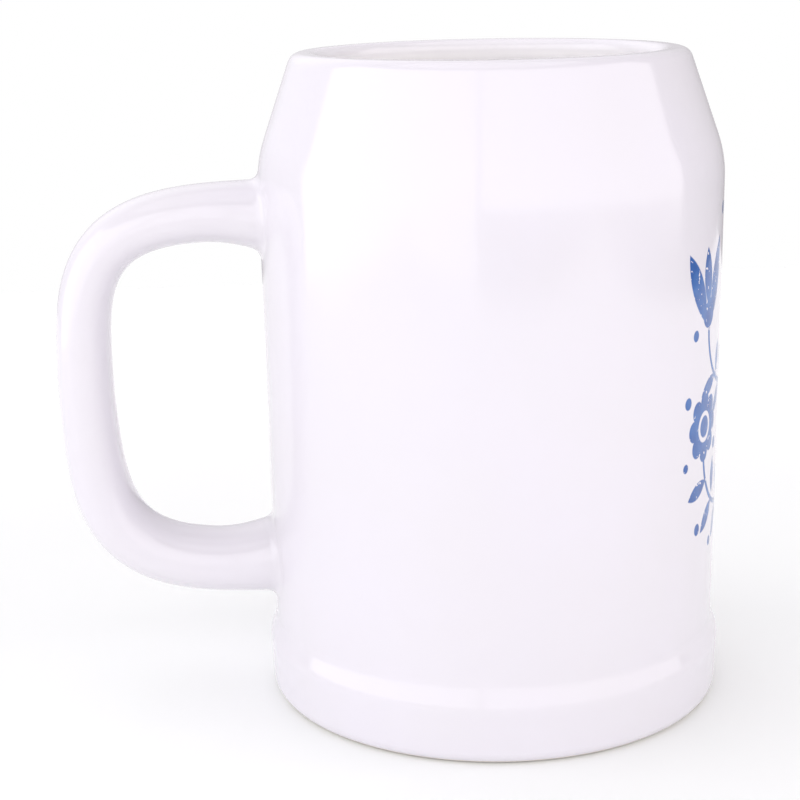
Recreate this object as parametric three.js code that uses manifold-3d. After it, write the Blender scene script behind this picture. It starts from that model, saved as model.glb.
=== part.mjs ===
import * as THREE from 'three';
import { mergeVertices } from 'three/addons/utils/BufferGeometryUtils.js';
import Module from 'manifold-3d';

// A ceramic beer mug: a hollow body with a foot band, a soft shoulder and a cone that narrows to a rounded lip,
// and a loop handle luted to it before firing. All of it is one fired piece.
// Millimetres, +Z up. The origin is on the ground under the middle of the mug's box, and the handle is at -X.

// Body, outside
const mugHeight = 128.2;
const footBandStep = 1.35;
const footBandDraft = 0.5;
const footBandHeight = 11.4;
const footEdgeRounding = 2.5;
const ledgeRise = 3.8;
const ledgeRounding = 5;
const bodyLowerDiameter = 89.3;
const bodyUpperDiameter = 90.6;
const shoulderHeight = 107.8;
const shoulderRounding = 24;
const mouthDiameter = 76.2;

// Body, inside
const wall = 5;
const lipWall = 5.2;
const lipOuterRounding = 2.6;
const lipInnerRounding = 2.6;
const lipFaceHeight = 4.2;
const lipFaceRounding = 6;
const baseThickness = 6;
const innerCornerRounding = 12;

// Underside
const footRingWidth = 5;
const footRingDepth = 2.5;
const footRingSlope = 1.2;
const footRingRounding = 1;

// Handle, in the plane of the mug's axis
const fingerGap = 30;
const upperArmDrop = 9.4;
const lowerArmRise = 11.9;
const gripShare = 0.495;
const gripLean = 0.049;
const upperSquareness = 3.9;
const lowerSquareness = 3.84;

// Handle, its section: thickness in the plane of the loop, width across it
const upperArmThickness = 11.7;
const upperTurnThickness = 10.6;
const gripThickness = 10.8;
const lowerTurnThickness = 11.7;
const lowerArmThickness = 12.4;
const upperArmWidth = 16.5;
const gripWidth = 15.5;
const lowerArmWidth = 16.5;
const jointFlare = 2;
const jointFlareLength = 12;
const sectionSquareness = 2.3;

// Fineness of the facets
const bodySides = 72;
const arcStep = THREE.MathUtils.degToRad(16);
const handleSides = 22;
const handleSteps = 48;
const endCrowding = 0.6;

const bodyRadius = bodyUpperDiameter / 2;
const footBandRadius = bodyLowerDiameter / 2 + footBandStep;
const footGroundRadius = footBandRadius - footBandDraft;
const lowerArmHeight = footBandHeight + ledgeRise + lowerArmRise;
const upperArmHeight = shoulderHeight - upperArmDrop;
const handleReach = bodyRadius + fingerGap + gripThickness;
const boxMiddle = (handleReach - footBandRadius) / 2;

const wasm = await Module();
wasm.setup();

// A closed geometry as a solid, with its shared vertices merged and the flat triangles at its poles left out.
function solidOf(geometry) {
  geometry.deleteAttribute('normal');
  geometry.deleteAttribute('uv');
  const merged = mergeVertices(geometry);
  const corners = merged.index.array;
  const kept = [];
  for (let i = 0; i < corners.length; i += 3) {
    const [a, b, c] = corners.slice(i, i + 3);
    if (a !== b && b !== c && c !== a) kept.push(a, b, c);
  }
  const vertProperties = new Float32Array(merged.attributes.position.array);
  return new wasm.Manifold(new wasm.Mesh({ numProp: 3, vertProperties, triVerts: new Uint32Array(kept) }));
}

// A solid's surface as a geometry.
function geometryOf(solid) {
  const { vertProperties, triVerts } = solid.getMesh();
  const geometry = new THREE.BufferGeometry();
  geometry.setAttribute('position', new THREE.BufferAttribute(vertProperties, 3));
  geometry.setIndex(new THREE.BufferAttribute(triVerts, 1));
  geometry.computeVertexNormals();
  return geometry;
}

// The arc that rounds one corner of an outline. Its radius shrinks where the sides beside it are too short.
function cornerArc(before, corner, after) {
  const back = before.at.clone().sub(corner.at);
  const ahead = after.at.clone().sub(corner.at);
  const room = Math.min(back.length(), ahead.length()) / 2;
  const turn = Math.PI - Math.abs(back.angleTo(ahead));
  const setback = Math.min(corner.rounding * Math.tan(turn / 2), room);
  const radius = setback / Math.tan(turn / 2);
  const start = corner.at.clone().addScaledVector(back.normalize(), setback);
  const end = corner.at.clone().addScaledVector(ahead.normalize(), setback);
  const inward = back.add(ahead).normalize();
  const centre = corner.at.clone().addScaledVector(inward, Math.hypot(setback, radius));
  const from = start.sub(centre);
  const side = Math.sign(from.cross(end.sub(centre)));
  const steps = Math.max(2, Math.ceil(turn / arcStep));
  const points = [];
  for (let i = 0; i <= steps; i += 1) {
    points.push(from.clone().rotateAround(new THREE.Vector2(), side * turn * i / steps).add(centre));
  }
  return points;
}

// An outline from corners that each have a place and a rounding, 0 for a sharp one.
function roundedOutline(corners) {
  return corners.flatMap((corner, i) => (
    corner.rounding > 0 ? cornerArc(corners[i - 1], corner, corners[i + 1]) : [corner.at]
  ));
}

function corner(radius, height, rounding = 0) {
  return { at: new THREE.Vector2(radius, height), rounding };
}

// The underside from the axis outwards: the recess and the ring that the mug stands on.
function undersideCorners() {
  const ringInside = footGroundRadius - footEdgeRounding - footRingWidth;
  return [
    corner(0, footRingDepth),
    corner(ringInside - footRingSlope, footRingDepth, footRingRounding),
    corner(ringInside, 0, footRingRounding),
    corner(footGroundRadius, 0, footEdgeRounding),
  ];
}

// The outside from the foot band up to the lip.
function outsideCorners() {
  return [
    corner(footBandRadius, footBandHeight, ledgeRounding),
    corner(bodyLowerDiameter / 2, footBandHeight + ledgeRise, ledgeRounding),
    corner(bodyRadius, shoulderHeight, shoulderRounding),
    corner(mouthDiameter / 2, mugHeight, lipOuterRounding),
  ];
}

// The inside from the lip down to the floor, a wall behind the outside. The lip has an upright inner face.
function insideCorners() {
  const floorHeight = footRingDepth + baseThickness;
  return [
    corner(mouthDiameter / 2 - lipWall, mugHeight, lipInnerRounding),
    corner(mouthDiameter / 2 - lipWall, mugHeight - lipFaceHeight, lipFaceRounding),
    corner(bodyRadius - wall, shoulderHeight, shoulderRounding),
    corner(bodyLowerDiameter / 2 - wall, floorHeight, innerCornerRounding),
    corner(0, floorHeight),
  ];
}

// The body turned about its axis.
function bodySolid() {
  const outline = roundedOutline([...undersideCorners(), ...outsideCorners(), ...insideCorners()]);
  return solidOf(new THREE.LatheGeometry(outline, bodySides).rotateX(Math.PI / 2));
}

// What the handle's arms mustn't enter: a core as wide as the middle of the wall.
function wallCore() {
  const radius = Math.min(bodyLowerDiameter, bodyUpperDiameter) / 2 - wall / 2;
  const core = new THREE.CylinderGeometry(radius, radius, mugHeight, bodySides).rotateX(Math.PI / 2);
  return solidOf(core.translate(0, 0, mugHeight / 2));
}

// The handle's middle line, a squared half ring from the upper joint out to the grip and back to the lower joint.
// Below its widest height it leans in towards the body. It starts and ends as deep as the inner face of the wall.
class HandleLine extends THREE.Curve {
  constructor() {
    super();
    this.root = bodyRadius - wall;
    this.reach = handleReach - gripThickness / 2 - this.root;
    this.gripHeight = THREE.MathUtils.lerp(lowerArmHeight, upperArmHeight, gripShare);
  }

  getPoint(share, target = new THREE.Vector3()) {
    const angle = (0.5 - share) * Math.PI;
    const isUpper = angle > 0;
    const rise = isUpper ? upperArmHeight - this.gripHeight : this.gripHeight - lowerArmHeight;
    const power = isUpper ? upperSquareness : lowerSquareness;
    const out = Math.cos(angle);
    const up = Math.sin(angle);
    const size = ((out / this.reach) ** power + Math.abs(up / rise) ** power) ** (-1 / power);
    const lean = isUpper ? 1 : 1 + gripLean * size * up / rise;
    return target.set(-this.root - size * out * lean, 0, this.gripHeight + size * up);
  }
}

// The handle's thickness and width at equal shares of its length.
const handleSections = new THREE.SplineCurve([
  new THREE.Vector2(upperArmThickness, upperArmWidth),
  new THREE.Vector2(upperTurnThickness, (upperArmWidth + gripWidth) / 2),
  new THREE.Vector2(gripThickness, gripWidth),
  new THREE.Vector2(lowerTurnThickness, (gripWidth + lowerArmWidth) / 2),
  new THREE.Vector2(lowerArmThickness, lowerArmWidth),
]);

// How much thicker a section gets on the loop's inner side as it nears the body.
function flareAt(point) {
  const outside = -point.x - bodyRadius;
  return jointFlare * THREE.MathUtils.clamp(1 - outside / jointFlareLength, 0, 1) ** 2;
}

// A point of a squared circle of radius 1, at the angle of the given direction.
function squaredCircle(x, y) {
  const power = 2 / sectionSquareness;
  return new THREE.Vector2(Math.sign(x) * Math.abs(x) ** power, Math.sign(y) * Math.abs(y) ** power);
}

// A unit cylinder bent along the handle's line, with its sections fitted to the handle's thickness and width.
// The flare is half each side across, and all on the loop's inner side in its plane.
function handleSolid() {
  const cylinder = new THREE.CylinderGeometry(1, 1, 1, handleSides, handleSteps);
  const line = new HandleLine();
  const across = new THREE.Vector3(0, 1, 0);
  const position = cylinder.attributes.position;
  for (let i = 0; i < position.count; i += 1) {
    const even = THREE.MathUtils.clamp(0.5 - position.getY(i), 0, 1);
    const share = even - endCrowding * Math.sin(2 * Math.PI * even) / (2 * Math.PI);
    const point = line.getPointAt(share);
    const outward = across.clone().cross(line.getTangentAt(share));
    const flare = flareAt(point) / 2;
    const size = handleSections.getPoint(share).multiplyScalar(0.5).addScalar(flare);
    const section = squaredCircle(position.getX(i), position.getZ(i)).multiply(size);
    point.addScaledVector(outward, section.x - flare).addScaledVector(across, section.y);
    position.setXYZ(i, point.x, point.y, point.z);
  }
  return solidOf(cylinder);
}

const glaze = new THREE.MeshStandardMaterial({ color: 0xf6f3fa, roughness: 0.12, metalness: 0 });
const mug = new THREE.Mesh(geometryOf(bodySolid().add(handleSolid().subtract(wallCore()))), glaze);
mug.name = 'mug';
mug.position.x = boxMiddle;

const model = new THREE.Group();
model.add(mug);

export default model;
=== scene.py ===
"""The looks of a glazed ceramic beer mug: its surface, glaze, blue ornament, floor, light and camera."""

import logging
import math
from dataclasses import dataclass
from enum import Enum

import bpy
import numpy as np
from mathutils import Matrix, Vector


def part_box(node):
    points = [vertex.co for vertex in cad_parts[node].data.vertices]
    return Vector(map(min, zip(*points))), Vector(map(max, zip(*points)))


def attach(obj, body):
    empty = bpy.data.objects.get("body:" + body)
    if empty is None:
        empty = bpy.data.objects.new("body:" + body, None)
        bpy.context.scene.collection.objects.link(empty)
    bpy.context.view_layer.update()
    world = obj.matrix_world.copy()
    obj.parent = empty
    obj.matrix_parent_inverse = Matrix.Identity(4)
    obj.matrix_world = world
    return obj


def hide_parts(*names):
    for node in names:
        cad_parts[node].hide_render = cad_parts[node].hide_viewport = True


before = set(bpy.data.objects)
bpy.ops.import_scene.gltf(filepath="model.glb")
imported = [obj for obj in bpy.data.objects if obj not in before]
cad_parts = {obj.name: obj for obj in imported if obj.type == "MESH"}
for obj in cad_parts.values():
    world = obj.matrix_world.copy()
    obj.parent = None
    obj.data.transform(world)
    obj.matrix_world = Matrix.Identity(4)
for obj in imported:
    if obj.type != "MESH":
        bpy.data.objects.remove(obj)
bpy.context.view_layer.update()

MM = 0.001
FULL_TURN = 2 * math.pi
ARC_STEP = math.radians(6)
# How far the handle's grip stays inside the solid's box, in mm.
INSET = 0.03

Colour = tuple[float, float, float, float]

log = logging.getLogger("beer_mug")


class Region(Enum):
    """The parts of the body's outline, in the order in which the outline passes them."""

    UNDERSIDE = 0
    OUTSIDE = 1
    INSIDE = 2


class Joint(Enum):
    """The handle's joints. The value is 1 where the loop's outer side faces up, -1 where it faces down."""

    UPPER = 1
    LOWER = -1


@dataclass(frozen=True)
class Corner:
    """A corner of the body's outline, in mm.

    radius is its distance from the mug's axis, height its height above the ground and rounding the radius
    of its arc, 0 for a sharp corner. pitch is the spacing of the rows on the side that follows it.
    """

    radius: float
    height: float
    region: Region
    rounding: float = 0.0
    pitch: float = 1.2

    @property
    def place(self) -> np.ndarray:
        """The corner as a (radius, height) pair."""
        return np.array([self.radius, self.height])


def rounded(before: Corner, corner: Corner, after: Corner) -> np.ndarray:
    """The points of the arc that rounds a corner, or the corner itself where it is sharp.

    The arc touches both sides at rounding times the tangent of half the turn, or at half the shorter side
    where that is less. Its centre is on the line that halves the corner, and its points are the first one
    turned about the centre in equal steps.

    Args:
        before: The corner before it.
        corner: The corner to round.
        after: The corner after it.

    Returns:
        An (n, 2) array of radius and height.
    """
    if corner.rounding == 0:
        return corner.place[None, :]
    back = before.place - corner.place
    ahead = after.place - corner.place
    room = min(np.linalg.norm(back), np.linalg.norm(ahead)) / 2
    back /= np.linalg.norm(back)
    ahead /= np.linalg.norm(ahead)
    turn = math.pi - math.acos(float(back @ ahead))
    setback = min(corner.rounding * math.tan(turn / 2), room)
    radius = setback / math.tan(turn / 2)
    inward = (back + ahead) / np.linalg.norm(back + ahead)
    centre = corner.place + inward * math.hypot(setback, radius)
    start = corner.place + back * setback - centre
    end = corner.place + ahead * setback - centre
    side = math.copysign(1, start[0] * end[1] - start[1] * end[0])
    steps = max(math.ceil(turn / ARC_STEP), math.ceil(turn * radius / corner.pitch))
    angle = side * turn * np.linspace(0, 1, steps + 1)
    cosine, sine = np.cos(angle), np.sin(angle)
    across = start[0] * cosine - start[1] * sine
    upward = start[0] * sine + start[1] * cosine
    return centre + np.column_stack([across, upward])


@dataclass(frozen=True)
class Outline:
    """The body's closed outline as rows from the middle of the underside to the middle of the inner floor.

    radius, height and region hold one value for each row, the first two in mm.
    """

    radius: np.ndarray
    height: np.ndarray
    region: np.ndarray

    @classmethod
    def through(cls, corners: list[Corner]) -> "Outline":
        """The outline with an arc at each rounded corner and evenly spaced rows on the straight sides.

        Args:
            corners: The outline's corners in order.

        Returns:
            The outline.
        """
        arcs = [rounded(corners[max(i - 1, 0)], corners[i], corners[min(i + 1, len(corners) - 1)])
                for i in range(len(corners))]
        rows = []
        regions = []
        for i, corner in enumerate(corners):
            rows.append(arcs[i])
            if i + 1 < len(corners):
                start, end = arcs[i][-1], arcs[i + 1][0]
                steps = max(1, round(float(np.linalg.norm(end - start)) / corner.pitch))
                rows.append(start + (end - start) * np.linspace(0, 1, steps + 1)[1:-1, None])
            count = sum(len(part) for part in rows) - len(regions)
            regions += [corner.region.value] * count
        places = np.vstack(rows)
        return cls(places[:, 0], places[:, 1], np.array(regions))

    def outer_radius(self, height: np.ndarray) -> np.ndarray:
        """The outer wall's radius at each height, in mm, taken between the rows of the outer wall."""
        outer = self.region == Region.OUTSIDE.value
        return np.interp(height, self.height[outer], self.radius[outer])


@dataclass(frozen=True)
class Body:
    """The hollow body, turned about its axis. Sizes in mm."""

    height: float
    lower_diameter: float = 89.3
    upper_diameter: float = 90.6
    mouth_diameter: float = 76.2
    shoulder_height: float = 107.8
    shoulder_rounding: float = 24.0
    band_height: float = 11.4
    band_step: float = 1.35
    band_draft: float = 0.5
    foot_rounding: float = 2.5
    ledge_rise: float = 3.8
    ledge_rounding: float = 5.0
    ring_width: float = 5.0
    ring_depth: float = 2.5
    ring_slope: float = 1.2
    ring_rounding: float = 1.0
    wall: float = 5.0
    lip_wall: float = 5.2
    lip_outer_rounding: float = 2.6
    lip_inner_rounding: float = 2.6
    lip_face_height: float = 4.2
    lip_face_rounding: float = 6.0
    base_thickness: float = 6.0
    inner_rounding: float = 12.0
    fine_pitch: float = 1.2
    coarse_pitch: float = 2.4
    columns: int = 240

    def outline(self) -> Outline:
        """The body's outline: under the foot, up the outside, over the lip and down the inside."""
        under, outer, inner = Region.UNDERSIDE, Region.OUTSIDE, Region.INSIDE
        lower, upper, mouth = self.lower_diameter / 2, self.upper_diameter / 2, self.mouth_diameter / 2
        band = lower + self.band_step
        ground = band - self.band_draft
        ring = ground - self.foot_rounding - self.ring_width
        floor = self.ring_depth + self.base_thickness
        lip, face_foot = mouth - self.lip_wall, self.height - self.lip_face_height
        fine, coarse = self.fine_pitch, self.coarse_pitch
        return Outline.through([
            Corner(0, self.ring_depth, under, pitch=coarse),
            Corner(ring - self.ring_slope, self.ring_depth, under, self.ring_rounding, coarse),
            Corner(ring, 0, under, self.ring_rounding, coarse),
            Corner(ground, 0, outer, self.foot_rounding, fine),
            Corner(band, self.band_height, outer, self.ledge_rounding, fine),
            Corner(lower, self.band_height + self.ledge_rise, outer, self.ledge_rounding, fine),
            Corner(upper, self.shoulder_height, outer, self.shoulder_rounding, fine),
            Corner(mouth, self.height, outer, self.lip_outer_rounding, fine),
            Corner(lip, self.height, inner, self.lip_inner_rounding, fine),
            Corner(lip, face_foot, inner, self.lip_face_rounding, fine),
            Corner(upper - self.wall, self.shoulder_height, inner, self.shoulder_rounding, coarse),
            Corner(lower - self.wall, floor, inner, self.inner_rounding, coarse),
            Corner(0, floor, inner, pitch=coarse),
        ])


@dataclass(frozen=True)
class Handle:
    """The loop handle in the plane of the mug's axis, its arms pointing to -X. Sizes in mm."""

    root: float
    reach: float
    upper_height: float = 98.4
    lower_height: float = 27.1
    grip_share: float = 0.495
    grip_lean: float = 0.049
    upper_squareness: float = 3.9
    lower_squareness: float = 3.84
    thicknesses: tuple[float, ...] = (11.7, 10.6, 10.8, 11.7, 12.4)
    widths: tuple[float, ...] = (16.5, 16.0, 15.5, 16.0, 16.5)
    section_squareness: float = 2.3
    flare: float = 2.0
    flare_length: float = 12.0
    line_samples: int = 4001

    def line(self) -> tuple[np.ndarray, np.ndarray, np.ndarray]:
        """The handle's middle line, a squared half ring from the upper joint out to the grip and back.

        A point at an angle from the grip is (size times cosine, size times sine), where size is the power
        mean (|cosine / reach|^p + |sine / rise|^p)^(-1 / p). Below the grip its distance from the root is
        multiplied by 1 + lean times its share of the way down, which is negative there.

        Returns:
            The share of the length, the (x, z) places and the (x, z) directions, one row each.
        """
        grip_height = self.lower_height + (self.upper_height - self.lower_height) * self.grip_share
        angle = np.linspace(0.5, -0.5, self.line_samples) * math.pi
        is_upper = angle > 0
        rise = np.where(is_upper, self.upper_height - grip_height, grip_height - self.lower_height)
        power = np.where(is_upper, self.upper_squareness, self.lower_squareness)
        out, up = np.abs(np.cos(angle)), np.sin(angle)
        middle_reach = self.reach - self.thicknesses[2] / 2 - self.root
        size = ((out / middle_reach) ** power + np.abs(up / rise) ** power) ** (-1 / power)
        lean = np.where(is_upper, 1, 1 + self.grip_lean * size * up / rise)
        places = np.column_stack([-self.root - size * out * lean, grip_height + size * up])
        lengths = np.concatenate([[0], np.cumsum(np.hypot(*np.diff(places, axis=0).T))])
        directions = np.gradient(places, lengths, axis=0)
        directions /= np.linalg.norm(directions, axis=1)[:, None]
        return lengths / lengths[-1], places, directions

    @staticmethod
    def along(values: tuple[float, ...], share: np.ndarray) -> np.ndarray:
        """A smooth curve through values at equal shares of the length (a uniform Catmull-Rom spline).

        Args:
            values: The values to pass through.
            share: Where to read the curve, 0 to 1.

        Returns:
            The curve's value at each share.
        """
        held = np.array([values[0], *values, values[-1]])
        place = np.clip(share, 0, 1) * (len(values) - 1)
        start = np.minimum(place.astype(int), len(values) - 2)
        t = place - start
        a, b, c, d = (held[start + i] for i in range(4))
        slope_b, slope_c = (c - a) / 2, (d - b) / 2
        return ((2 * b - 2 * c + slope_b + slope_c) * t ** 3
                + (3 * c - 3 * b - 2 * slope_b - slope_c) * t ** 2 + slope_b * t + b)

    def surface(self, share: np.ndarray, around: np.ndarray, body_radius: float) -> np.ndarray:
        """The handle's surface: a squared circle carried along the middle line.

        A section's point is middle + outward (c (t + f) / 2 - f / 2) + across s (w + f) / 2, where t and w
        are the thickness and width, f the flare near the body, and c and s the cosine and sine of the angle
        around, each raised to 2 / squareness. So the flare is half each side across and all on the loop's
        inner side.

        Args:
            share: The share of the handle's length, 0 at the upper joint.
            around: The angle around the section, 0 on the loop's outer side. It broadcasts with share.
            body_radius: The body's radius at the joints, from which the flare fades.

        Returns:
            An array of points with x, y and z last, in mm from the foot of the mug's axis.
        """
        shares, places, directions = self.line()
        x, z = (np.interp(share, shares, places[:, k]) for k in range(2))
        ahead_x, ahead_z = (np.interp(share, shares, directions[:, k]) for k in range(2))
        outside = -x - body_radius
        flare = self.flare * np.clip(1 - outside / self.flare_length, 0, 1) ** 2
        power = 2 / self.section_squareness
        cosine, sine = np.cos(around), np.sin(around)
        thickness = self.along(self.thicknesses, share) + flare
        width = self.along(self.widths, share) + flare
        rise = (np.sign(cosine) * np.abs(cosine) ** power * thickness - flare) / 2
        side = np.sign(sine) * np.abs(sine) ** power * width / 2
        rise, side, x, z, ahead_x, ahead_z = np.broadcast_arrays(rise, side, x, z, ahead_x, ahead_z)
        return np.stack([x + ahead_z * rise, side, z - ahead_x * rise], axis=-1)


@dataclass(frozen=True)
class Seam:
    """How the handle joins the body: a window in the body's grid, a fillet and a collar of rows. In mm."""

    fillet: float = 2.2
    window_rows: int = 22
    window_columns: int = 22
    collar_rows: int = 4
    fillet_rows: int = 7
    handle_rows: int = 100
    crowding: float = 0.3
    search_share: float = 0.2
    search_steps: int = 800

    def loop(self) -> tuple[np.ndarray, np.ndarray]:
        """The window's border as steps across and up, from the middle of its far side and round it once.

        Returns:
            The steps across from the window's middle and the steps up from its bottom.
        """
        half, rows = self.window_columns // 2, self.window_rows
        across = np.concatenate([
            np.arange(0, -half, -1), np.full(rows, -half), np.arange(-half, half), np.full(rows, half),
            np.arange(half, 0, -1)])
        up = np.concatenate([
            np.full(half, rows), np.arange(rows, 0, -1), np.zeros(2 * half, int), np.arange(rows),
            np.full(half, rows)])
        return across, up

    def angles(self) -> np.ndarray:
        """The angle around the handle's section of each step of the window's border."""
        across, up = self.loop()
        return np.unwrap(np.arctan2(-across, up - self.window_rows / 2))


@dataclass(frozen=True)
class Mug:
    """The whole mug as one closed surface: the turned body, the handle and the seams between them. In mm.

    print_height is the height of the print's middle, far_from_print the place on its sheet of what lies off
    it, and inside_brightening_fade the depth below the lip over which the painted brightening of the inside
    sets in.
    """

    body: Body
    handle: Handle
    seam: Seam
    axis_x: float
    print_height: float = 66.0
    far_from_print: float = 500.0
    inside_brightening_fade: float = 3.0

    def crossing(self, outline: Outline, joint: Joint, gap: float) -> np.ndarray:
        """Where the handle's surface stands a gap off the outer wall, for each angle around the handle.

        The distance from the mug's axis less the wall's radius at that height is sampled along the handle
        from its end, and the first place at which it reaches the gap is found between two samples.

        Args:
            outline: The body's outline.
            joint: The joint to look at.
            gap: The distance off the wall.

        Returns:
            One share of the handle's length for each angle.
        """
        share = np.linspace(0, self.seam.search_share, self.seam.search_steps)
        if joint is Joint.LOWER:
            share = 1 - share
        points = self.on_handle(share[:, None], self.seam.angles()[None, :])
        off = np.hypot(points[..., 0], points[..., 1]) - outline.outer_radius(points[..., 2]) - gap
        after = np.argmax(off >= 0, axis=0)
        each = np.arange(off.shape[1])
        low, high = off[after - 1, each], off[after, each]
        return share[after - 1] + (share[after] - share[after - 1]) * low / (low - high)

    def on_handle(self, share: np.ndarray, around: np.ndarray) -> np.ndarray:
        """The handle's surface at a share of its length and an angle around it."""
        return self.handle.surface(share, around, self.body.upper_diameter / 2)

    def on_wall(self, outline: Outline, place: np.ndarray) -> np.ndarray:
        """The outer wall's point at each (along, height): along runs round the wall from the handle's side.

        The angle is along divided by the body's upper radius, from -X towards -Y.
        """
        angle = place[..., 0] / (self.body.upper_diameter / 2)
        radius = outline.outer_radius(place[..., 1])
        return np.stack([-radius * np.cos(angle), -radius * np.sin(angle), place[..., 1]], axis=-1)

    def unrolled(self, points: np.ndarray) -> np.ndarray:
        """The (along, height) of points near the handle's side of the wall: the reverse of on_wall."""
        angle = np.arctan2(-points[..., 1], -points[..., 0])
        return np.stack([angle * self.body.upper_diameter / 2, points[..., 2]], axis=-1)

    def seam_rows(self, outline: Outline, joint: Joint,
                  border: np.ndarray) -> tuple[np.ndarray, np.ndarray]:
        """The rows from the window's border to where the fillet meets the handle.

        The fillet's foot lies on the wall, the fillet's size outside the line where the handle enters it.
        The collar is spread evenly on the wall between the border and the foot. The fillet is a quadratic
        Bezier curve from the foot by the crossing line to the handle.

        Args:
            outline: The body's outline.
            joint: The joint to build.
            border: The (along, height) of the window's border.

        Returns:
            The rows as an array of points, and the share of the handle's length at which they end.
        """
        angles = self.seam.angles()
        entry = self.on_handle(self.crossing(outline, joint, 0), angles)
        end_share = self.crossing(outline, joint, self.seam.fillet)
        end = self.on_handle(end_share, angles)
        line = self.unrolled(entry)
        run = np.roll(line, -1, axis=0) - np.roll(line, 1, axis=0)
        run /= np.linalg.norm(run, axis=1)[:, None]
        foot = line + self.seam.fillet * joint.value * np.column_stack([run[:, 1], -run[:, 0]])
        t = (np.arange(1, self.seam.collar_rows + 1) / self.seam.collar_rows)[:, None, None]
        collar = self.on_wall(outline, (1 - t) * border + t * foot)
        t = (np.arange(1, self.seam.fillet_rows) / self.seam.fillet_rows)[:, None, None]
        fillet = (1 - t) ** 2 * collar[-1] + 2 * t * (1 - t) * entry + t ** 2 * end
        return np.concatenate([collar, fillet]), end_share

    def window(self, outline: Outline, joint: Joint) -> tuple[int, np.ndarray, np.ndarray]:
        """The window in the body's grid at a joint.

        Returns:
            The window's lowest row, and its border as rows and columns of the grid.
        """
        entry = self.on_handle(self.crossing(outline, joint, 0), self.seam.angles())
        middle = (entry[:, 2].min() + entry[:, 2].max()) / 2
        outer = np.flatnonzero(outline.region == Region.OUTSIDE.value)
        nearest = outer[np.argmin(np.abs(outline.height[outer] - middle))]
        lowest = int(nearest) - self.seam.window_rows // 2
        across, up = self.seam.loop()
        rows = lowest + (up if joint is Joint.UPPER else self.seam.window_rows - up)
        return lowest, rows, self.body.columns // 2 + across

    def surface(self) -> tuple[np.ndarray, list[np.ndarray], np.ndarray]:
        """The mug's points, its faces and where each point lies on the print's sheet.

        The body is radius and height of each row turned through equal angles, counter-clockwise from +X.
        Each row of the handle has a point for each step of the windows' borders, so the handle, the fillets
        and the collars are one grid between the two windows.

        Returns:
            The points in mm, the face arrays and the places on the print's sheet.
        """
        outline = self.body.outline()
        rows, columns = len(outline.radius) - 2, self.body.columns
        radius, height = outline.radius[1:-1, None], outline.height[1:-1, None]
        azimuth = (np.arange(columns) / columns * FULL_TURN)[None, :]
        east, north = radius * np.cos(azimuth), radius * np.sin(azimuth)
        turned = np.stack(np.broadcast_arrays(east, north, height), axis=-1)
        grid = np.arange(rows * columns).reshape(rows, columns)
        open_cells = np.zeros((rows - 1, columns), bool)

        borders = []
        seams = []
        for joint in Joint:
            lowest, border_rows, border_columns = self.window(outline, joint)
            first_column = columns // 2 - self.seam.window_columns // 2
            open_cells[lowest - 1:lowest - 1 + self.seam.window_rows,
                       first_column:first_column + self.seam.window_columns] = True
            border = grid[border_rows - 1, border_columns]
            borders.append(border)
            seams.append(self.seam_rows(outline, joint, self.unrolled(turned.reshape(-1, 3)[border])))

        (upper_rows, upper_share), (lower_rows, lower_share) = seams
        even = np.linspace(0, 1, self.seam.handle_rows)
        spread = (even - self.seam.crowding * np.sin(FULL_TURN * even) / FULL_TURN)[:, None]
        share = upper_share + (lower_share - upper_share) * spread
        handle_rows = self.on_handle(share, self.seam.angles()[None, :])
        loop_rows = np.concatenate([upper_rows, handle_rows, lower_rows[::-1]])
        loop = np.arange(loop_rows[..., 0].size).reshape(loop_rows.shape[:2]) + grid.size
        loop = np.vstack([borders[0], loop, borders[1]])

        poles = np.array([[0, 0, outline.height[0]], [0, 0, outline.height[-1]]])
        points = np.concatenate([turned.reshape(-1, 3), loop_rows.reshape(-1, 3), poles])
        bottom, top = len(points) - 2, len(points) - 1
        first, last = grid[0], grid[-1]
        faces = [
            quads(grid)[~open_cells.ravel()],
            quads(loop),
            np.column_stack([np.full(columns, bottom), np.roll(first, -1), first]),
            np.column_stack([last, np.roll(last, -1), np.full(columns, top)]),
        ]
        return self.tidied(points, faces, self.sheet(outline, azimuth, len(points)))

    def sheet(self, outline: Outline, azimuth: np.ndarray, count: int) -> np.ndarray:
        """Where each point lies on the print's sheet, which is wrapped round the wall opposite the handle.

        along is the distance round the wall from +X, the same on both sides, and height is measured from
        the print's middle. Points that aren't on the outer wall of the body lie far from the print. The
        third number is the mask of the painted brightening inside the mug: it rises from 0 on the lip to 1
        inside, up to the last point, which is the middle of its floor.
        """
        place = np.zeros((count, 3))
        place[:, :2] = self.far_from_print
        along = np.abs((azimuth + math.pi) % FULL_TURN - math.pi) * self.body.upper_diameter / 2
        outer = (outline.region[1:-1] == Region.OUTSIDE.value)[:, None]
        # Painted light: the mask of the painted brightening inside, 0 on the lip and rising to 1 below it.
        depth = outline.height.max() - outline.height[1:-1, None]
        is_inside = (outline.region[1:-1] == Region.INSIDE.value)[:, None]
        inner = is_inside * np.clip(depth / self.inside_brightening_fade, 0, 1)
        wall = np.stack(np.broadcast_arrays(np.where(outer, along, self.far_from_print),
                                            outline.height[1:-1, None] - self.print_height, inner), axis=-1)
        place[:wall[..., 0].size] = wall.reshape(-1, 3)
        place[-1, 2] = 1
        return place

    @staticmethod
    def tidied(points: np.ndarray, faces: list[np.ndarray], place: np.ndarray) -> tuple:
        """The same surface without the points that no face uses."""
        used, first = np.unique(np.concatenate([part.ravel() for part in faces]), return_inverse=True)
        sizes = [part.size for part in faces]
        parts = np.split(first, np.cumsum(sizes)[:-1])
        return points[used], [part.reshape(old.shape) for part, old in zip(parts, faces)], place[used]

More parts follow.
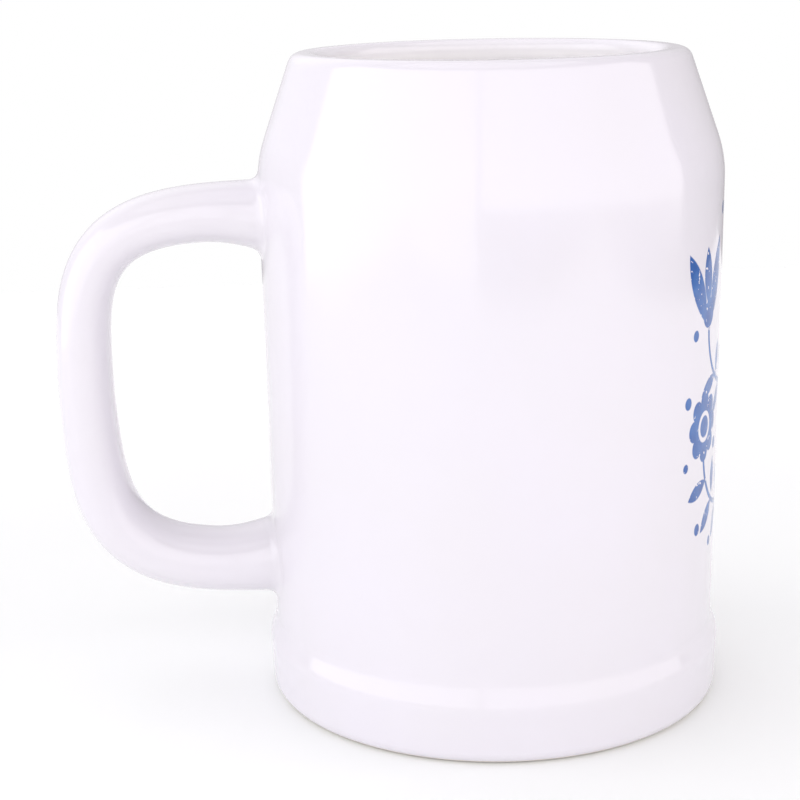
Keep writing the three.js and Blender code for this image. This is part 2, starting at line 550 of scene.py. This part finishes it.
    def build(self, name: str) -> bpy.types.Object:
        """Makes the mug's object, in metres and in its place, with its print sheet as an attribute.

        Args:
            name: The object's name.

        Returns:
            The object, linked to the scene.
        """
        points, faces, place = self.surface()
        mesh = bpy.data.meshes.new(name)
        mesh.from_pydata((points * MM + [self.axis_x * MM, 0, 0]).tolist(), [],
                         [face for part in faces for face in part.tolist()])
        # The attribute holds the print's sheet and, as its third number, the mask of the painted
        # brightening inside.
        sheet = mesh.attributes.new("print_sheet_and_bright_inside", "FLOAT_VECTOR", "POINT")
        sheet.data.foreach_set("vector", place.astype(np.float32).ravel())
        mesh.shade_smooth()
        mug = bpy.data.objects.new(name, mesh)
        bpy.context.scene.collection.objects.link(mug)
        return mug


def quads(grid: np.ndarray) -> np.ndarray:
    """The faces of a grid whose columns go round and close, each as four indices.

    A face runs (i, j), (i, j + 1), (i + 1, j + 1), (i + 1, j).
    """
    ahead = np.roll(grid, -1, axis=1)
    return np.stack([grid[:-1], ahead[:-1], ahead[1:], grid[1:]], axis=-1).reshape(-1, 4)


class Field:
    """A number or vector at each point of a surface, worked out by shader nodes.

    Sums, products and the like of fields make the node for them, so that a pattern is written as its
    formula.
    """

    def __init__(self, tree: bpy.types.NodeTree, socket: bpy.types.NodeSocket) -> None:
        self.tree = tree
        self.socket = socket

    def give(self, target: bpy.types.NodeSocket) -> None:
        """Joins the field to a socket."""
        self.tree.links.new(self.socket, target)

    def node(self, kind: str, operation: str, *values: "Field | float | tuple") -> bpy.types.Node:
        """A node of an operation with this field in its first socket and the values in the next ones."""
        node = self.tree.nodes.new(kind)
        node.operation = operation
        self.give(node.inputs[0])
        for socket, value in zip(list(node.inputs)[1:], values):
            if isinstance(value, Field):
                value.give(socket)
            else:
                socket.default_value = value
        return node

    def math(self, operation: str, *values: "Field | float") -> "Field":
        """The number that a Math node gives."""
        return Field(self.tree, self.node("ShaderNodeMath", operation, *values).outputs[0])

    def __add__(self, other: "Field | float") -> "Field":
        """The sum."""
        return self.math("ADD", other)

    def __sub__(self, other: "Field | float") -> "Field":
        """The difference."""
        return self.math("SUBTRACT", other)

    def __mul__(self, other: "Field | float") -> "Field":
        """The product."""
        return self.math("MULTIPLY", other)

    def __neg__(self) -> "Field":
        """The negative."""
        return self * -1.0

    def __abs__(self) -> "Field":
        """The size without its sign."""
        return self.math("ABSOLUTE")

    def low(self, other: "Field | float") -> "Field":
        """The lower of two numbers: where two shapes are joined."""
        return self.math("MINIMUM", other)

    def high(self, other: "Field | float") -> "Field":
        """The higher of two numbers: where one shape is cut by another."""
        return self.math("MAXIMUM", other)

    def clamped(self) -> "Field":
        """The number kept between 0 and 1."""
        clamped = self.math("ADD", 0.0)
        clamped.socket.node.use_clamp = True
        return clamped

    def inside(self, softness: float) -> "Field":
        """1 where the number is below zero, 0 where it is above, with an edge as wide as the softness."""
        return (self * (-1 / softness) + 0.5).clamped()

    def blend(self, first: "Field | tuple", second: "Field | tuple") -> "Field":
        """A colour from the first, where the number is 0, to the second, where it is 1."""
        node = self.tree.nodes.new("ShaderNodeMix")
        node.data_type = "RGBA"
        self.give(node.inputs["Factor"])
        for name, value in (("A", first), ("B", second)):
            socket = next(s for s in node.inputs if s.name == name and s.type == "RGBA")
            if isinstance(value, Field):
                value.give(socket)
            else:
                socket.default_value = value
        return Field(self.tree, next(s for s in node.outputs if s.type == "RGBA"))

    def parts(self) -> tuple["Field", "Field", "Field"]:
        """The x, y and z of a vector."""
        node = self.tree.nodes.new("ShaderNodeSeparateXYZ")
        self.give(node.inputs[0])
        return tuple(Field(self.tree, output) for output in node.outputs)

    def seen_from(self, place: tuple[float, float], turn: float = 0.0,
                  scale: tuple[float, float, float] = (1.0, 1.0, 1.0)) -> "Field":
        """The vector in a frame of its own.

        Args:
            place: The frame's origin.
            turn: The frame's turn about z, in degrees.
            scale: The lengths of its x, y and z units.

        Returns:
            The vector less the place, turned back and divided by the scale.
        """
        node = self.tree.nodes.new("ShaderNodeMapping")
        node.vector_type = "TEXTURE"
        self.give(node.inputs["Vector"])
        node.inputs["Location"].default_value = (*place, 0)
        node.inputs["Rotation"].default_value = (0, 0, math.radians(turn))
        node.inputs["Scale"].default_value = scale
        return Field(self.tree, node.outputs[0])

    def vector_math(self, operation: str, *values: "Field | tuple") -> bpy.types.Node:
        """A Vector Math node."""
        return self.node("ShaderNodeVectorMath", operation, *values)

    def length(self) -> "Field":
        """The vector's length."""
        return Field(self.tree, self.vector_math("LENGTH").outputs["Value"])

    def distance_to(self, x: float, y: float) -> "Field":
        """The distance from a point."""
        return Field(self.tree, self.vector_math("DISTANCE", (x, y, 0)).outputs["Value"])

    def disc(self, x: float, y: float, radius: float) -> "Field":
        """A disc, below zero inside: the distance from its middle less its radius."""
        return self.distance_to(x, y) - radius

    def oval(self, x: float, y: float, turn: float, length: float, width: float) -> "Field":
        """An ellipse, below zero inside: the distance in its own units less 1, times half its width."""
        own = self.seen_from((x, y), turn, (length / 2, width / 2, 1))
        return (own.length() - 1.0) * (width / 2)

    def leaf(self, x: float, y: float, turn: float, length: float, width: float) -> "Field":
        """A pointed leaf, below zero inside, that grows from a point.

        It is where two equal circles overlap. With half length l and half width w their radius is
        r = (l^2 + w^2) / 2w, and the leaf is |(x, |y| + r - w)| - r about its middle.

        Args:
            x: The stalk end's x.
            y: The stalk end's y.
            turn: The direction in which the leaf points, in degrees.
            length: Its length.
            width: Its greatest width.

        Returns:
            The leaf's field.
        """
        half, wide = length / 2, width / 2
        radius = (half ** 2 + wide ** 2) / (2 * wide)
        angle = math.radians(turn)
        own = self.seen_from((x + half * math.cos(angle), y + half * math.sin(angle)), turn)
        mirrored = Field(self.tree, own.vector_math("ABSOLUTE").outputs["Vector"])
        raised = Field(self.tree, mirrored.vector_math("ADD", (0, radius - wide, 0)).outputs["Vector"])
        return raised.length() - radius

    def blossom(self, x: float, y: float, petals: int, spread: float, petal: float) -> "Field":
        """A flower of round petals, below zero inside.

        With rho and phi the distance and angle from its middle, and phi folded into half a petal's share,
        the distance from the nearest petal's middle is sqrt(rho^2 + s^2 - 2 rho s cos phi), less the
        petal's radius.

        Args:
            x: The middle's x.
            y: The middle's y.
            petals: How many petals it has.
            spread: How far their middles are from its own.
            petal: A petal's radius.

        Returns:
            The flower's field.
        """
        own = self.seen_from((x, y))
        east, north, _ = own.parts()
        fold = north.math("ARCTAN2", east).math("PINGPONG", math.pi / petals).math("COSINE")
        far = own.length()
        return (far * far + spread ** 2 + far * fold * (-2 * spread)).math("SQRT") - petal

    def noise(self, scale: float, detail: float) -> "Field":
        """Smooth noise about 0.5, with scale features to each unit of the vector."""
        node = self.tree.nodes.new("ShaderNodeTexNoise")
        node.inputs["Scale"].default_value = scale
        node.inputs["Detail"].default_value = detail
        self.give(node.inputs["Vector"])
        return Field(self.tree, node.outputs["Fac"])


@dataclass(frozen=True)
class Noise:
    """Smooth noise: scale features to each mm with finer layers of detail, times a gain, plus a base."""

    scale: float
    detail: float
    gain: float
    base: float = 0.0

    def over(self, place: Field) -> Field:
        """The noise at each place."""
        return place.noise(self.scale, self.detail) * self.gain + self.base


@dataclass(frozen=True)
class FolkOrnament:
    """A blue folk ornament: a flowering tree that grows from a heart, the same on both sides. Sizes in mm.

    It is only colour in the glaze. Each leaf is (x, y, direction in degrees, length, width), and so are the
    heart's half and a tulip's petals, these in a tulip of size 1. A dot and a tulip's cup are (x, y,
    radius), a tulip is (x, y, direction, size), and the stem is the height of its middle and half its
    length.
    """

    colour: Colour = (0.006, 0.062, 0.290, 1)
    pale: Colour = (0.045, 0.150, 0.420, 1)
    stroke: float = 1.0
    edge: float = 0.22
    low_branch: tuple[float, float, float] = (13.0, -13.0, 13.0)
    high_branch: tuple[float, float, float] = (12.5, 11.0, 12.5)
    leaves: tuple[tuple[float, float, float, float, float], ...] = (
        (0.6, -17, 68, 9.5, 3.2), (0.6, -7.5, 45, 9, 3.2), (0.6, 2.5, 48, 8.5, 3.0),
        (6.5, -24.6, -62, 7.5, 2.9), (13.5, -26.2, -52, 8, 3.0), (20, -24, -38, 8.5, 3.1),
        (24.6, -19, -16, 8.5, 3.1), (12, -25.6, 68, 8, 2.9), (19.5, -23.0, 92, 7.5, 2.8),
        (7, -0.2, -50, 7, 2.7), (14, -1.4, -38, 8.5, 3.0), (20, 1.0, -20, 8.5, 3.0),
        (12, -1.2, 74, 8, 2.9), (18.5, 0.4, 98, 7, 2.6),
    )
    stem: tuple[float, float] = (-2.5, 19.5)
    heart: tuple[float, float, float, float, float] = (3.9, -25.2, 54, 14.6, 8.6)
    tulips: tuple[tuple[float, float, float, float], ...] = ((0, 15.5, 90, 1.25), (25, 11, 84, 1.0))
    tulip_middle: tuple[float, float, float, float, float] = (4.2, 0, 0, 11.5, 4.0)
    tulip_side: tuple[float, float, float, float, float] = (1.0, 1.2, 24, 16.5, 4.6)
    tulip_cup: tuple[float, float, float] = (3.0, 0, 2.9)
    rose: tuple[float, float] = (26, -8.0)
    rose_petals: tuple[int, float, float] = (8, 4.9, 2.1)
    rose_radius: float = 4.6
    ring_radius: float = 2.6
    ring_half_width: float = 0.45
    wear: Noise = Noise(0.9, 2, -6.0, 2.01)
    tone: Noise = Noise(0.22, 2, 2.2, -0.6)
    dots: tuple[tuple[float, float, float], ...] = (
        (9.5, -34, 0.9), (15.5, 32.5, 1.3), (31.2, 10.5, 1.1), (33.6, -2, 1.2), (18.5, -13, 1.2),
        (20.5, -32.5, 1.0), (28.5, -28.0, 1.2), (12.5, 26.5, 0.9), (34.0, -14.5, 0.9),
    )

    def field(self, sheet: Field) -> Field:
        """The whole ornament, below zero inside: the lowest of the fields of its parts."""
        along, height, _ = sheet.parts()
        shape = along - self.stroke / 2
        shape = shape.high(abs(height - self.stem[0]) - self.stem[1])
        shape = shape.low(sheet.oval(*self.heart))
        for x, y, radius in (self.low_branch, self.high_branch):
            ring = abs(sheet.distance_to(x, y) - radius) - self.stroke / 2
            shape = shape.low(ring.high(height - y))
        for leaf in self.leaves:
            shape = shape.low(sheet.leaf(*leaf))
        for dot in self.dots:
            shape = shape.low(sheet.disc(*dot))
        for tulip in self.tulips:
            shape = shape.low(self.tulip(sheet, *tulip))
        return shape.low(self.blossom(sheet))

    def tulip(self, sheet: Field, x: float, y: float, turn: float, size: float) -> Field:
        """A tulip: a middle petal, two side petals mirrored in its axis, and a cup.

        Args:
            sheet: The print's sheet.
            x: The x of its stalk.
            y: The y of its stalk.
            turn: The direction in which it opens, in degrees.
            size: Its size, 1 for a flower about 16 mm high.

        Returns:
            The tulip's field.
        """
        own = sheet.seen_from((x, y), turn, (size, size, size))
        mirrored = Field(own.tree, own.vector_math("ABSOLUTE").outputs["Vector"])
        middle = own.leaf(*self.tulip_middle)
        side = mirrored.leaf(*self.tulip_side)
        cup = own.disc(*self.tulip_cup)
        ahead, _, _ = own.parts()
        return middle.low(side.high(-ahead)).low(cup) * size

    def blossom(self, sheet: Field) -> Field:
        """The rose: a round flower of petals with a white ring about its eye."""
        petals = sheet.blossom(*self.rose, *self.rose_petals)
        inner = sheet.disc(*self.rose, self.rose_radius)
        ring = abs(sheet.distance_to(*self.rose) - self.ring_radius) - self.ring_half_width
        return petals.low(inner).high(-ring)


@dataclass(frozen=True)
class Specks:
    """A few tiny iron specks: one cell in many of a cell pattern, close to that cell's middle.

    scale is the cells to each mm and share the share of them with a speck. radius and edge are in cells.
    """

    scale: float = 0.13
    share: float = 0.05
    radius: float = 0.028
    edge: float = 0.02
    strength: float = 0.55

    def over(self, place: Field) -> Field:
        """The strength in the specks and 0 between them."""
        cells = place.tree.nodes.new("ShaderNodeTexVoronoi")
        cells.inputs["Scale"].default_value = self.scale
        place.give(cells.inputs["Vector"])
        near = Field(place.tree, cells.outputs["Distance"])
        chance, _, _ = Field(place.tree, cells.outputs["Color"]).parts()
        chosen = (chance * -1.0 + self.share).math("GREATER_THAN", 0.0)
        return (near - self.radius).inside(self.edge) * chosen * self.strength


@dataclass(frozen=True)
class Glaze:
    """A hard white glaze with a breath of lavender, on a pale clay that shows bare where the foot stands.

    Clouds of a second colour drift over it. Inside the mug it is painted much whiter, a painted brightening
    that stands in for the light on the inside. waves and ripples are the glaze's relief and grain the bare
    clay's, in mm. Below bare_height, with a ragged edge, the clay shows.
    """

    colour: Colour = (0.718, 0.693, 0.746, 1)
    cloud: Colour = (0.712, 0.689, 0.729, 1)
    # Painted light: inner is a far whiter copy of the same glaze, a painted brightening of the inside, not
    # a glaze of its own colour.
    inner: Colour = (0.965, 0.948, 0.952, 1)
    clay: Colour = (0.735, 0.690, 0.640, 1)
    dark_clay: Colour = (0.6615, 0.621, 0.576, 1)
    speck: Colour = (0.420, 0.370, 0.330, 1)
    ior: float = 1.6
    roughness: float = 0.11
    clay_roughness: float = 0.85
    bare_height: float = 0.75
    bare_edge: float = 0.25
    clouds: Noise = Noise(0.035, 3, 3.0, -1.0)
    specks: Specks = Specks()
    ragged: Noise = Noise(0.8, 3, 0.5, -0.25)
    grit: Noise = Noise(3.0, 3, 1.6, -0.3)
    waver: Noise = Noise(0.12, 2, 0.05, -0.025)
    waves: Noise = Noise(0.06, 1, 0.11)
    ripples: Noise = Noise(0.35, 1, 0.010)
    grain: Noise = Noise(4.0, 2, 0.08)

    def material(self, ornament: FolkOrnament) -> bpy.types.Material:
        """The mug's material.

        Args:
            ornament: The blue ornament in the glaze.

        Returns:
            The material.
        """
        material = bpy.data.materials.new("white_glaze")
        material.use_nodes = True
        tree = material.node_tree
        shader = tree.nodes["Principled BSDF"]
        shader.inputs["IOR"].default_value = self.ior

        coordinates = tree.nodes.new("ShaderNodeTexCoord")
        metres = Field(tree, coordinates.outputs["Object"])
        place = metres.seen_from((0, 0), 0, (MM, MM, MM))
        attribute = tree.nodes.new("ShaderNodeAttribute")
        attribute.attribute_name = "print_sheet_and_bright_inside"
        sheet = Field(tree, attribute.outputs["Vector"])
        _, _, height = place.parts()

        colour = self.clouds.over(place).clamped().blend(self.colour, self.cloud)
        # Painted light: inside the mug the colour turns to the much whiter inner one, a painted brightening
        # of the inside.
        _, _, inside = sheet.parts()
        colour = inside.blend(colour, self.inner)

        printed = ornament.field(sheet).high(ornament.wear.over(place)).inside(ornament.edge)
        ink = ornament.tone.over(place).clamped().blend(ornament.colour, ornament.pale)
        colour = printed.blend(colour, ink)
        colour = self.specks.over(place).blend(colour, self.speck)

        bare = (height + self.ragged.over(place) - self.bare_height).inside(self.bare_edge)
        clay = self.grit.over(place).clamped().blend(self.clay, self.dark_clay)
        bare.blend(colour, clay).give(shader.inputs["Base Color"])

        matte = bare * (self.clay_roughness - self.roughness) + self.roughness
        (matte + self.waver.over(place)).give(shader.inputs["Roughness"])

        relief = self.waves.over(place) + self.ripples.over(place) + bare * self.grain.over(place)
        bump = tree.nodes.new("ShaderNodeBump")
        bump.inputs["Strength"].default_value = 1.0
        bump.inputs["Distance"].default_value = MM
        relief.give(bump.inputs["Height"])
        tree.links.new(bump.outputs["Normal"], shader.inputs["Normal"])
        return material


@dataclass(frozen=True)
class Floor:
    """A plain pale table top. The tent reaches below its edge, so the mug's shoulder mirrors it there."""

    size: float = 0.9
    drop: float = 0.00005
    colour: Colour = (0.940, 0.955, 0.942, 1)

    def build(self) -> bpy.types.Object:
        """Makes the floor just under the ground plane."""
        half = self.size / 2
        mesh = bpy.data.meshes.new("floor")
        mesh.from_pydata([(-half, -half, -self.drop), (half, -half, -self.drop), (half, half, -self.drop),
                          (-half, half, -self.drop)], [], [(0, 1, 2, 3)])
        floor = bpy.data.objects.new("floor", mesh)
        bpy.context.scene.collection.objects.link(floor)
        material = bpy.data.materials.new("pale_floor")
        material.use_nodes = True
        shader = material.node_tree.nodes["Principled BSDF"]
        shader.inputs["Base Color"].default_value = self.colour
        shader.inputs["Roughness"].default_value = 1.0
        shader.inputs["Specular IOR Level"].default_value = 0.0
        mesh.materials.append(material)
        return floor


@dataclass(frozen=True)
class Panel:
    """A soft panel of the light tent. Azimuths are counted from the camera, those to its right positive."""

    from_azimuth: float
    to_azimuth: float
    from_elevation: float
    to_elevation: float
    strength: float
    softness: float


@dataclass(frozen=True)
class Lobe:
    """A broad glow of the tent: its strength times a power of the cosine of the angle from its middle."""

    azimuth: float
    elevation: float
    strength: float
    power: float


@dataclass(frozen=True)
class LightTent:
    """A white light tent round the mug: a fill, glows, two softboxes beside the camera and a bright top."""

    camera_azimuth: float
    fill: float = 0.22
    backdrop: float = 1.0
    lobes: tuple[Lobe, ...] = (
        Lobe(-152, 34, 0.95, 6.0),
        Lobe(-110, -5, 0.43, 1.0),
        Lobe(145, 32, 0.42, 3.5),
    )
    panels: tuple[Panel, ...] = (
        Panel(-102, -6.2, -12, 44, 1.56, 2.5),
        Panel(-4.4, 105, -9, 44, 1.5, 2.5),
        Panel(-180, 180, 62, 95, 0.85, 8.0),
    )
    left_tint: Colour = (0.977, 0.968, 1.0, 1)
    right_tint: Colour = (1.0, 0.962, 0.974, 1)

    def build(self) -> None:
        """Makes the world's light: the fill, panels and glows, and a white backdrop for the camera."""
        world = bpy.data.worlds.new("light_tent")
        bpy.context.scene.world = world
        world.use_nodes = True
        tree = world.node_tree
        background = tree.nodes["Background"]
        coordinates = tree.nodes.new("ShaderNodeTexCoord")
        direction = Field(tree, coordinates.outputs["Generated"]).seen_from((0, 0), self.camera_azimuth)
        ahead, side, up = direction.parts()
        azimuth = side.math("ARCTAN2", ahead).math("DEGREES")
        elevation = up.math("ARCSINE").math("DEGREES")
        parts = [self.glow(azimuth, elevation, panel) for panel in self.panels]
        parts += [self.shine(direction, lobe) for lobe in self.lobes]
        light = sum(parts[1:], parts[0] + self.fill)
        path = tree.nodes.new("ShaderNodeLightPath")
        seen = Field(tree, path.outputs["Is Camera Ray"])
        (light + seen * ((light * -1.0) + self.backdrop)).give(background.inputs["Strength"])
        tint = (side * 0.5 + 0.5).blend(self.left_tint, self.right_tint)
        seen.blend(tint, (1, 1, 1, 1)).give(background.inputs["Color"])

    @staticmethod
    def shine(direction: Field, lobe: Lobe) -> Field:
        """A lobe's light, which fades to nothing at a right angle from its middle."""
        azimuth, elevation = math.radians(lobe.azimuth), math.radians(lobe.elevation)
        level = math.cos(elevation)
        middle = (math.cos(azimuth) * level, math.sin(azimuth) * level, math.sin(elevation))
        facing = Field(direction.tree, direction.vector_math("DOT_PRODUCT", middle).outputs["Value"])
        return facing.high(0.0).math("POWER", lobe.power) * lobe.strength

    @staticmethod
    def glow(azimuth: Field, elevation: Field, panel: Panel) -> Field:
        """A panel's light: full inside its four edges and fading over its softness."""
        middle = (panel.from_azimuth + panel.to_azimuth) / 2
        level = (panel.from_elevation + panel.to_elevation) / 2
        across = abs(azimuth - middle) - (panel.to_azimuth - middle)
        upward = abs(elevation - level) - (panel.to_elevation - level)
        return across.inside(panel.softness) * upward.inside(panel.softness) * panel.strength


@dataclass(frozen=True)
class PhotoCamera:
    """The camera at the photograph's viewing angle.

    Distances are in mm from the foot of the mug's axis, angles in degrees.
    handle_turn is how far the handle stands in front of the picture's plane. The part's handle points along
    -X, so the camera is turned about the mug's axis instead.
    """

    axis_x: float
    distance: float = 348.0
    height: float = 147.78
    pitch: float = math.degrees(0.2507)
    yaw: float = math.degrees(-0.0529)
    roll: float = math.degrees(-0.0196)
    handle_turn: float = 7.0
    lens: float = 79.978
    sensor: float = 36.0

    @property
    def azimuth(self) -> float:
        """The direction from the mug's axis to the camera, counter-clockwise from +X, in degrees."""
        return -90.0 - self.handle_turn

    def build(self) -> bpy.types.Object:
        """Makes the camera and the scene's active one of it."""
        yaw, pitch, roll = (math.radians(a) for a in (self.yaw, self.pitch, self.roll))
        ahead = math.cos(pitch)
        forward = Vector((math.sin(yaw) * ahead, math.cos(yaw) * ahead, -math.sin(pitch)))
        level = Vector((math.cos(yaw), -math.sin(yaw), 0))
        upright = level.cross(forward)
        right = math.cos(roll) * level + math.sin(roll) * upright
        up = math.cos(roll) * upright - math.sin(roll) * level
        aim = Matrix((right, up, -forward)).transposed().to_4x4()
        turn = Matrix.Rotation(-math.radians(self.handle_turn), 4, "Z")
        stand = Matrix.Translation(Vector((0, -self.distance, self.height)) * MM)
        data = bpy.data.cameras.new("photo_camera")
        data.lens = self.lens
        data.sensor_width = self.sensor
        data.clip_end = 100
        camera = bpy.data.objects.new("photo_camera", data)
        camera.matrix_world = Matrix.Translation((self.axis_x * MM, 0, 0)) @ turn @ stand @ aim
        bpy.context.scene.collection.objects.link(camera)
        bpy.context.scene.camera = camera
        return camera


def main() -> None:
    """Builds the mug, its finish, the floor, the camera and the light, in that order."""
    logging.basicConfig(level=logging.INFO, format="%(name)s: %(message)s")
    low, high = (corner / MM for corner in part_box("mug"))
    axis_x = high.x - (high.y - low.y) / 2
    body = Body(height=high.z)
    handle = Handle(root=body.upper_diameter / 2 - body.wall, reach=axis_x - low.x - INSET)
    mug = Mug(body, handle, Seam(), axis_x).build("glazed_mug")
    mug.data.materials.append(Glaze().material(FolkOrnament()))
    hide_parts("mug")
    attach(mug, "root")
    log.info("glazed_mug: %d points, %d faces", len(mug.data.vertices), len(mug.data.polygons))

    floor = Floor().build()
    camera = PhotoCamera(axis_x)
    camera.build()
    LightTent(camera.azimuth).build()
    bpy.context.scene.view_settings.view_transform = "Standard"
    log.info("floor, camera and light tent made")


if __name__ == "__main__":
    main()
